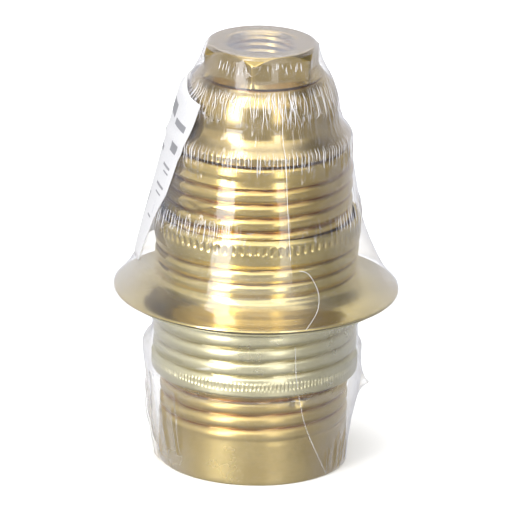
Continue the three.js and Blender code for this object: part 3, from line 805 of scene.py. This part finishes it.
def waves(phi, z, seed, count, size):
    """Slow ripples round the film."""
    random = np.random.default_rng(seed)
    total = np.zeros(np.broadcast(phi, z).shape)
    for _ in range(count):
        round_count = random.integers(3, 14)
        slope = random.uniform(-0.25, 0.25)
        phase = random.uniform(0, TURN)
        total += np.cos(round_count * phi + slope * z + phase) * random.uniform(0.3, 1.0)
    return total * size / count


def pleats(phi, z, seed, count, middle, spread, low, high, size):
    """Upright folds gathered round one azimuth, as film shrunk over an edge has."""
    random = np.random.default_rng(seed)
    total = np.zeros(np.broadcast(phi, z).shape)
    for _ in range(count):
        centre = azimuth_to_phi(middle + random.normal(0.0, spread))
        wide = random.uniform(0.008, 0.022)
        lean = random.uniform(-0.004, 0.004)
        bottom = low + random.uniform(-0.15, 0.25) * (high - low)
        top = high - random.uniform(-0.1, 0.35) * (high - low)
        off = (phi - centre - lean * (z - low) + math.pi) % TURN - math.pi
        fold = np.exp(-(off / wide) ** 2) * window(z, bottom, top, 1.0)
        total += size * random.uniform(0.4, 1.0) * fold
    return total


def film_angles():
    return np.linspace(0, TURN, FILM_COLUMNS)[None, :] + TURN / 4


def hat_radius(phi, z, base):
    """The film's radius: base lifted to the tent over the label and kept outside the hexagon."""
    azimuth = phi_to_azimuth(phi)
    share = (TENT_TOP[0] - z) / (TENT_TOP[0] - TENT_BOTTOM[0])
    tent = TENT_TOP[1] + (TENT_BOTTOM[1] - TENT_TOP[1]) * share
    lift = np.maximum(tent - base, 0.0) * window(z, TENT_BOTTOM[0], TENT_TOP[0] + 0.6, 1.5)
    over_hexagon = hexagon_r(phi, HEX_CORNER_R) + 0.1
    hug = np.where((z > HEX_BOTTOM) & (z < HEX_TOP - 0.9), over_hexagon, 0.0)
    return np.maximum(base + lift * tent_share(azimuth), hug)


def hat_creased(azimuth, z):
    """How puckered the film is: over the hexagon, the cap and the tops of both beads."""
    return np.maximum.reduce([
        0.3 * window(z, 61.4, 64.6, 0.8),
        0.9 * window(z, 54.6, 60.6, 0.8),
        0.35 * window(z, 47.8, 52.4, 1.0),
        0.4 * window(z, 37.2, 42.0, 1.5) * ease(5.0, 20.0, np.abs(azimuth - 12.0)),
        0.12 * window(z, 27.5, 47.5, 2.0),
    ])


def hat_surface(phi, z):
    """The radius of the film's side wall without its waves and pleats."""
    return hat_radius(phi, z, radius_at(HAT_SIDE, z))


def squash_upper(piece):
    """Gives this piece its own copy of its mesh."""
    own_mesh(piece)


def squash_lower(piece):
    """Gives this piece its own copy of its mesh."""
    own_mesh(piece)


def make_hat():
    phi = film_angles()
    base, z = spread(along([(r, z) for z, r in HAT_SIDE + HAT_TOP], 0.3), phi)
    azimuth = phi_to_azimuth(phi) + 0 * z
    r = hat_radius(phi, z, base)
    r = r + waves(phi, z, 3, 9, 0.28) * (base > 9.0) * window(z, 27.5, 62.0, 3.0)
    for row in HAT_PLEATS:
        r = r + pleats(phi, z, *row)
    sag = 0.05 * waves(phi, z, 5, 6, 1.0) * (base < 7.0)
    uv = np.stack([phi / TURN + 0 * z, np.where(base > 7.0, z, 57.0 + base)], axis=-1)
    piece = grid_mesh(
        "wrap_hat_film", placed(r, z + sag, phi + 0 * r), wrap_rows=False, wrap_columns=False, uv=uv,
        creased=hat_creased(azimuth, z),
    )
    finish_piece(piece, HAT_FILM, "cap", ["wrap_hat"], sharp=None)
    squash_upper(piece)


SLEEVE_BOTTOM = 0.15
SLEEVE_TOP = 24.2
SLEEVE_FRONT = [(0.15, 14.12), (6.8, 14.16), (9.0, 14.3), (12.5, 14.6), (14.0, 15.45), (16.8, 15.5),
                (23.4, 15.33), (24.2, 15.7)]
SLEEVE_LEFT = [(0.15, 14.15), (3.0, 14.6), (7.1, 15.5), (13.1, 16.2), (16.9, 16.75), (18.2, 16.7),
               (18.5, 15.6), (21.0, 15.35), (24.2, 15.4)]
SLEEVE_RIGHT = [(0.15, 14.12), (3.0, 14.3), (6.3, 14.75), (9.5, 15.4), (12.0, 15.8), (13.7, 16.1),
                (15.3, 15.95), (17.9, 16.0), (18.2, 15.45), (21.0, 15.3), (24.2, 15.35)]
# (seed, how many, middle azimuth, spread, lower and upper height, size) of each row of pleats
SLEEVE_PLEATS = [
    (22, 16, -66.0, 9.0, 0.5, 15.0, 0.35), (23, 10, 62.0, 7.0, 0.3, 6.5, 0.3),
    (24, 20, 170.0, 40.0, 1.0, 14.0, 0.25),
]
FIN = (83.0, 12.6, 1.5)          # azimuth, height and reach of a spike where the film was pulled
SOFTNESS = 14.0                  # how sharply the sleeve meets the metal under it


def make_sleeve():
    """Film shrunk round the skirt and the lower ring, looser at the sides, with a torn top edge."""
    phi = film_angles()
    share = np.linspace(0, 1, 120)[:, None]
    ragged = 0.5 * np.sin(9 * phi + 1.0) + 0.35 * np.sin(23 * phi) + 0.25 * np.sin(51 * phi + 2.0)
    torn = SLEEVE_TOP - (1.2 - ragged) * np.abs(np.sin(phi + TURN / 4)) ** 3
    z = SLEEVE_BOTTOM + (torn - SLEEVE_BOTTOM) * share
    azimuth = phi_to_azimuth(phi) + 0 * z
    side = ease(0.35, 1.0, np.abs(np.sin(np.radians(azimuth))))
    loose = np.where(azimuth < 0, radius_at(SLEEVE_LEFT, z), radius_at(SLEEVE_RIGHT, z))
    r = radius_at(SLEEVE_FRONT, z) * (1 - side) + loose * side
    r = r + waves(phi, z, 21, 8, 0.22) * (0.1 + side)
    for row in SLEEVE_PLEATS:
        r = r + pleats(phi, z, *row)
    fin = np.exp(-((azimuth - FIN[0]) / 4.0) ** 2) * np.exp(-np.abs(z - FIN[1]) / 0.9)
    r = r + FIN[2] * fin
    closest = np.where(z < 13.6, SKIRT_R + 0.08, RING_BEAD_R + 0.04 - 0.15 * (z > 17.0))
    r = closest + np.logaddexp(0.0, (r - closest) * SOFTNESS) / SOFTNESS
    creased = np.maximum.reduce([
        0.9 * window(z, 0.0, 16.0, 2.0) * window(azimuth, -100.0, -52.0, 12.0),
        0.8 * window(z, 0.0, 8.0, 2.0) * window(azimuth, 52.0, 90.0, 12.0),
        0.7 * ease(100.0, 120.0, np.abs(azimuth)),
        0.2 * window(z, 18.0, 24.0, 2.0),
    ])
    uv = np.stack([phi / TURN + 0 * z, z], axis=-1)
    piece = grid_mesh(
        "wrap_sleeve_film", placed(r, z, phi + 0 * r), wrap_rows=False, wrap_columns=False, uv=uv,
        creased=creased,
    )
    finish_piece(piece, SLEEVE_FILM, "barrel", ["wrap_sleeve"], sharp=None)
    squash_lower(piece)


def tubes(name, lines, radii, sides):
    """One piece of thin tapered tubes. lines is tubes x points x 3, radii is tubes x points."""
    along_line = np.gradient(lines, axis=1)
    along_line /= np.linalg.norm(along_line, axis=2)[..., None]
    out = lines * (1, 1, 0)
    out /= np.linalg.norm(out, axis=2)[..., None]
    across = np.cross(along_line, out)
    turn = angles(sides)[None, None, :, None]
    ring = np.cos(turn) * across[:, :, None] + np.sin(turn) * out[:, :, None]
    points = lines[:, :, None] + ring * radii[..., None, None]
    index = np.arange(points[..., 0].size).reshape(points.shape[:3])
    beside = np.roll(index, -1, axis=2)
    quads = np.stack([index[:, :-1], beside[:, :-1], beside[:, 1:], index[:, 1:]], axis=-1)
    return mesh_piece(name, points, quads)


def strand(name, points, radius, body):
    """A thin cord of film through (azimuth, height, radius) points."""
    line = np.array([placed(r, z, azimuth_to_phi(a)) for a, z, r in points])
    steps = np.linspace(0, len(line) - 1, (len(line) - 1) * 8 + 1)
    smooth = np.stack([np.interp(steps, range(len(line)), line[:, i]) for i in range(3)], axis=-1)
    for _ in range(12):
        smooth[1:-1] = (smooth[:-2] + 2 * smooth[1:-1] + smooth[2:]) / 4
    piece = tubes(name, smooth[None], np.full((1, len(smooth)), radius), sides=6)
    return finish_piece(piece, SEAM_FILM, body, sharp=None)


# (how many, azimuth from and to, top, shortest and longest, sway) of the hat's small upright folds, drawn
# as white cords that are partly milky folded film and partly painted highlight
FOLDS = [
    (8, -46.0, -12.0, 63.7, 0.9, 1.7, 0.3), (10, 4.0, 44.0, 63.9, 0.4, 1.2, 0.6),
    (46, -64.0, 76.0, 60.0, 1.6, 5.6, 1.0), (18, 4.0, 30.0, 60.0, 2.0, 5.0, 2.2),
    (64, -84.0, 84.0, 51.8, 1.6, 3.4, 0.15), (22, -70.0, -14.0, 41.0, 1.9, 3.1, 0.15),
    (13, 50.0, 88.0, 41.0, 1.9, 2.8, 0.15), (60, 90.0, 280.0, 60.0, 1.6, 5.0, 1.0),
    (60, 90.0, 280.0, 51.8, 1.6, 3.4, 0.15), (50, 90.0, 280.0, 41.0, 1.9, 3.1, 0.15),
]


def make_folds():
    """Thin white cords on the hat, one for each fold, that swing and may end in a hook. Their white is
    partly the milkiness of folded film and partly a painted highlight along each fold.
    """
    random = np.random.default_rng(7)
    t = np.linspace(0, 1, 12)
    lines, radii = [], []
    for count, first, last, top, short, long, swing in FOLDS:
        for i in range(count):
            azimuth = first + (last - first) * (i + random.uniform(0.2, 0.8)) / count
            high = top + random.uniform(-0.35, 0.35)
            length = random.uniform(short, long)
            sway = swing * random.uniform(0.2, 1.0)
            sway = sway * np.sin(t * random.uniform(2.0, 6.0) + random.uniform(0, TURN))
            hook = random.choice([0.0, 0.0, 2.5, -2.5]) * min(swing, 1.0)
            hook = hook * np.clip(t - 0.8, 0, 1) * 5
            z = high - length * t + 0.25 * np.abs(hook)
            phi = azimuth_to_phi(azimuth + sway + hook)
            lines.append(placed(hat_surface(phi, z) + 0.05, z, phi))
            radii.append(random.uniform(0.03, 0.075) * np.sin(math.pi * np.clip(t, 0.03, 0.97)) ** 0.5)
    piece = tubes("film_folds_and_glints", np.array(lines), np.array(radii), sides=5)
    finish_piece(piece, SEAM_FILM, "cap", sharp=None)
    squash_upper(piece)


def make_strands():
    """The welded seams, a curl in the hat, and a strand pulled from the sleeve's spike."""
    hat_seam = [(16.0, 58.2, 11.75), (16.3, 53.0, 12.2), (16.6, 51.0, 13.95), (17.2, 44.0, 14.6),
                (17.7, 39.0, 15.6), (18.0, 36.0, 16.2)]
    squash_upper(strand("film_seam_upper", hat_seam, 0.04, "cap"))
    hat_curl = [(21.9, 34.6, 16.95), (27.0, 34.2, 17.1), (30.8, 31.3, 18.4), (28.0, 28.8, 19.75),
                (20.5, 26.9, 21.4)]
    squash_upper(strand("film_seam_curl", hat_curl, 0.038, "cap"))
    sleeve_seam = [(22.9, 22.2, 15.45), (23.5, 17.0, 15.6), (30.5, 9.85, 14.8), (38.0, 6.0, 14.4),
                   (51.2, 0.4, 14.25)]
    squash_lower(strand("film_seam_lower", sleeve_seam, 0.035, "barrel"))
    pulled = [(FIN[0], FIN[1], 17.0), (86.0, 17.0, 18.2), (88.0, 21.5, 19.8), (88.0, 25.6, 20.6)]
    squash_lower(strand("film_pulled_strand", pulled, 0.05, "barrel"))


def make_label():
    """Paper on the tent from LABEL_BACK round the left side to its slanting front edge."""
    up = np.linspace(0, 1, 40)[:, None]
    across = np.linspace(0, 1, 80)[None, :]
    front_z, front_edge = zip(*LABEL_FRONT)
    level = front_z[0] + (front_z[-1] - front_z[0]) * up
    azimuth = LABEL_BACK + (np.interp(level, front_z, front_edge) - LABEL_BACK) * across
    corner = front_edge[-1]
    arch = np.sin(np.clip((azimuth - corner) / (LABEL_BACK - corner), 0, 1) * math.pi)
    z = level + arch * (0.8 + 1.2 * up)
    phi = azimuth_to_phi(azimuth)
    r = hat_surface(phi, z) + 0.12 + 0.2 * (1 - tent_share(azimuth))
    r = r + 0.1 * np.sin(azimuth / 9.0) * (1 - up)
    uv = np.stack([across + 0 * up, up + 0 * across], axis=-1)
    piece = grid_mesh("paper_label", placed(r, z, phi), wrap_rows=False, uv=uv, wrap_columns=False)
    thicken = piece.modifiers.new("thickness", "SOLIDIFY")
    thicken.thickness = 0.12 * MM
    thicken.offset = 1.0
    finish_piece(piece, PAPER, "cap", ["label"], sharp=None)
    squash_upper(piece)


make_hat()
make_sleeve()
make_strands()
make_folds()
make_label()

# ------------------------------------------------------------------ studio


LIGHT_AIM = Vector((0, 0, 0.03))


def area_light(name, azimuth, elevation, distance, width, height, power):
    """A soft light on diffuse surfaces. What metal and film mirror is the painted studio."""
    data = bpy.data.lights.new(name, "AREA")
    data.shape = "RECTANGLE"
    data.size = width
    data.size_y = height
    data.energy = power
    light = bpy.data.objects.new(name, data)
    bpy.context.scene.collection.objects.link(light)
    a, e = math.radians(azimuth), math.radians(elevation)
    out = Vector((math.sin(a) * math.cos(e), -math.cos(a) * math.cos(e), math.sin(e)))
    light.location = out * distance + LIGHT_AIM
    light.rotation_mode = "QUATERNION"
    light.rotation_quaternion = (-out).to_track_quat("-Z", "Y")
    light.visible_glossy = False


# (azimuth, brightness) round the painted studio, from below to above. The peaks are softboxes.
STUDIO_FLOOR = 0.12
STUDIO_LOW = [
    (-180, 0.7), (-125, 0.4), (-100, 0.4), (-60, 0.64), (-40, 0.76), (-12, 0.62), (12, 0.58),
    (20, 0.7), (34, 0.7), (44, 0.55), (75, 0.38), (115, 0.3), (145, 0.5), (180, 0.7),
]
STUDIO_FRONT = [
    (-180, 0.5), (-160, 0.72), (-140, 0.66), (-115, 0.6), (-95, 0.85), (-70, 0.8), (-50, 0.7),
    (-47, 6.4), (-31, 6.4), (-28, 0.7), (0, 0.5), (19, 0.5), (21, 2.8), (32, 2.8), (34, 0.45),
    (52, 0.4), (62, 0.36), (118, 0.36), (140, 0.5), (160, 0.72), (180, 0.5),
]
STUDIO_UPPER = [
    (-180, 1.7), (-166, 1.3), (-152, 0.22), (-125, 0.22), (-95, 0.6), (-62, 1.2), (-50, 1.4),
    (-47, 5.8), (-26, 5.8), (-23, 2.0), (30, 1.9), (55, 1.2), (80, 0.4), (95, 0.2), (152, 0.2),
    (166, 1.3), (180, 1.7),
]
STUDIO_TOP = [
    (-180, 1.7), (-160, 1.9), (-150, 4.0), (-128, 4.0), (-118, 1.4), (-90, 1.2), (90, 1.2),
    (150, 1.6), (180, 1.7),
]
# (elevation where a level begins to show, elevation where it has taken over, level)
STUDIO_LEVELS = [
    (-62.0, -34.0, STUDIO_LOW), (-14.0, -6.0, STUDIO_FRONT), (22.0, 34.0, STUDIO_UPPER),
    (60.0, 68.0, STUDIO_TOP),
]


def make_world():
    """A pale studio: the camera sees plain white, everything else sees softboxes and dark flags."""
    world = bpy.data.worlds.new("studio")
    world.cycles.sampling_method = "NONE"
    bpy.context.scene.world = world
    s = Shader(world)
    direction = s.node("ShaderNodeTexCoord").outputs["Generated"]
    split = s.node("ShaderNodeSeparateXYZ", Vector=direction)
    front = s.calc("MULTIPLY", split.outputs["Y"], -1.0)
    around = s.node("ShaderNodeCombineXYZ", X=front, Y=split.outputs["X"]).outputs[0]
    turn = s.node("ShaderNodeTexGradient", gradient_type="RADIAL", Vector=around).outputs["Fac"]
    height = s.between(split.outputs["Z"], -1.0, 1.0, 0.0, 1.0)

    def round_ramp(levels):
        return s.ramp(turn, [((a + 180) / 360, grey(level)) for a, level in levels])

    def above(low, high):
        """0 below one elevation and 1 above the other, in degrees."""
        places = [(math.sin(math.radians(e)) + 1) / 2 for e in (low, high)]
        return s.ramp(height, [(places[0], grey(0.0)), (places[1], grey(1.0))])

    painted = (*grey(STUDIO_FLOOR), 1)
    for low, high, levels in STUDIO_LEVELS:
        painted = s.mix(above(low, high), painted, round_ramp(levels))
    seen = s.node("ShaderNodeLightPath").outputs["Is Camera Ray"]
    color = s.mix(seen, painted, (*grey(0.99), 1))
    background = s.node("ShaderNodeBackground", Color=color, Strength=1.0)
    s.node("ShaderNodeOutputWorld", Surface=background.outputs[0])


def make_floor():
    """A pale floor. Metal and film don't mirror it, because the painted studio has its own."""
    bpy.ops.mesh.primitive_plane_add(size=30.0, location=(0, 0, 0))
    floor = bpy.context.object
    floor.name = "studio_floor"
    floor.visible_glossy = False
    s = new_material("floor_paper")
    grain = s.noise(s.position(), 60.0, 3.0)
    surface = s.node("ShaderNodeBsdfDiffuse")
    s.put(surface.inputs["Color"], s.ramp(grain, [(0.2, grey(0.87)), (0.8, grey(0.885))]))
    floor.data.materials.append(s.output(surface.outputs["BSDF"]))


def make_studio():
    area_light("key_softbox", -45.0, 35.0, 1.2, 0.5, 0.9, 0.2)
    area_light("fill_softbox", 35.0, 35.0, 1.2, 0.5, 0.9, 0.3)
    area_light("overhead", 0.0, 85.0, 1.3, 1.6, 1.6, 19.0)
    make_world()
    make_floor()
    bpy.context.scene.view_settings.view_transform = "Standard"


make_studio()
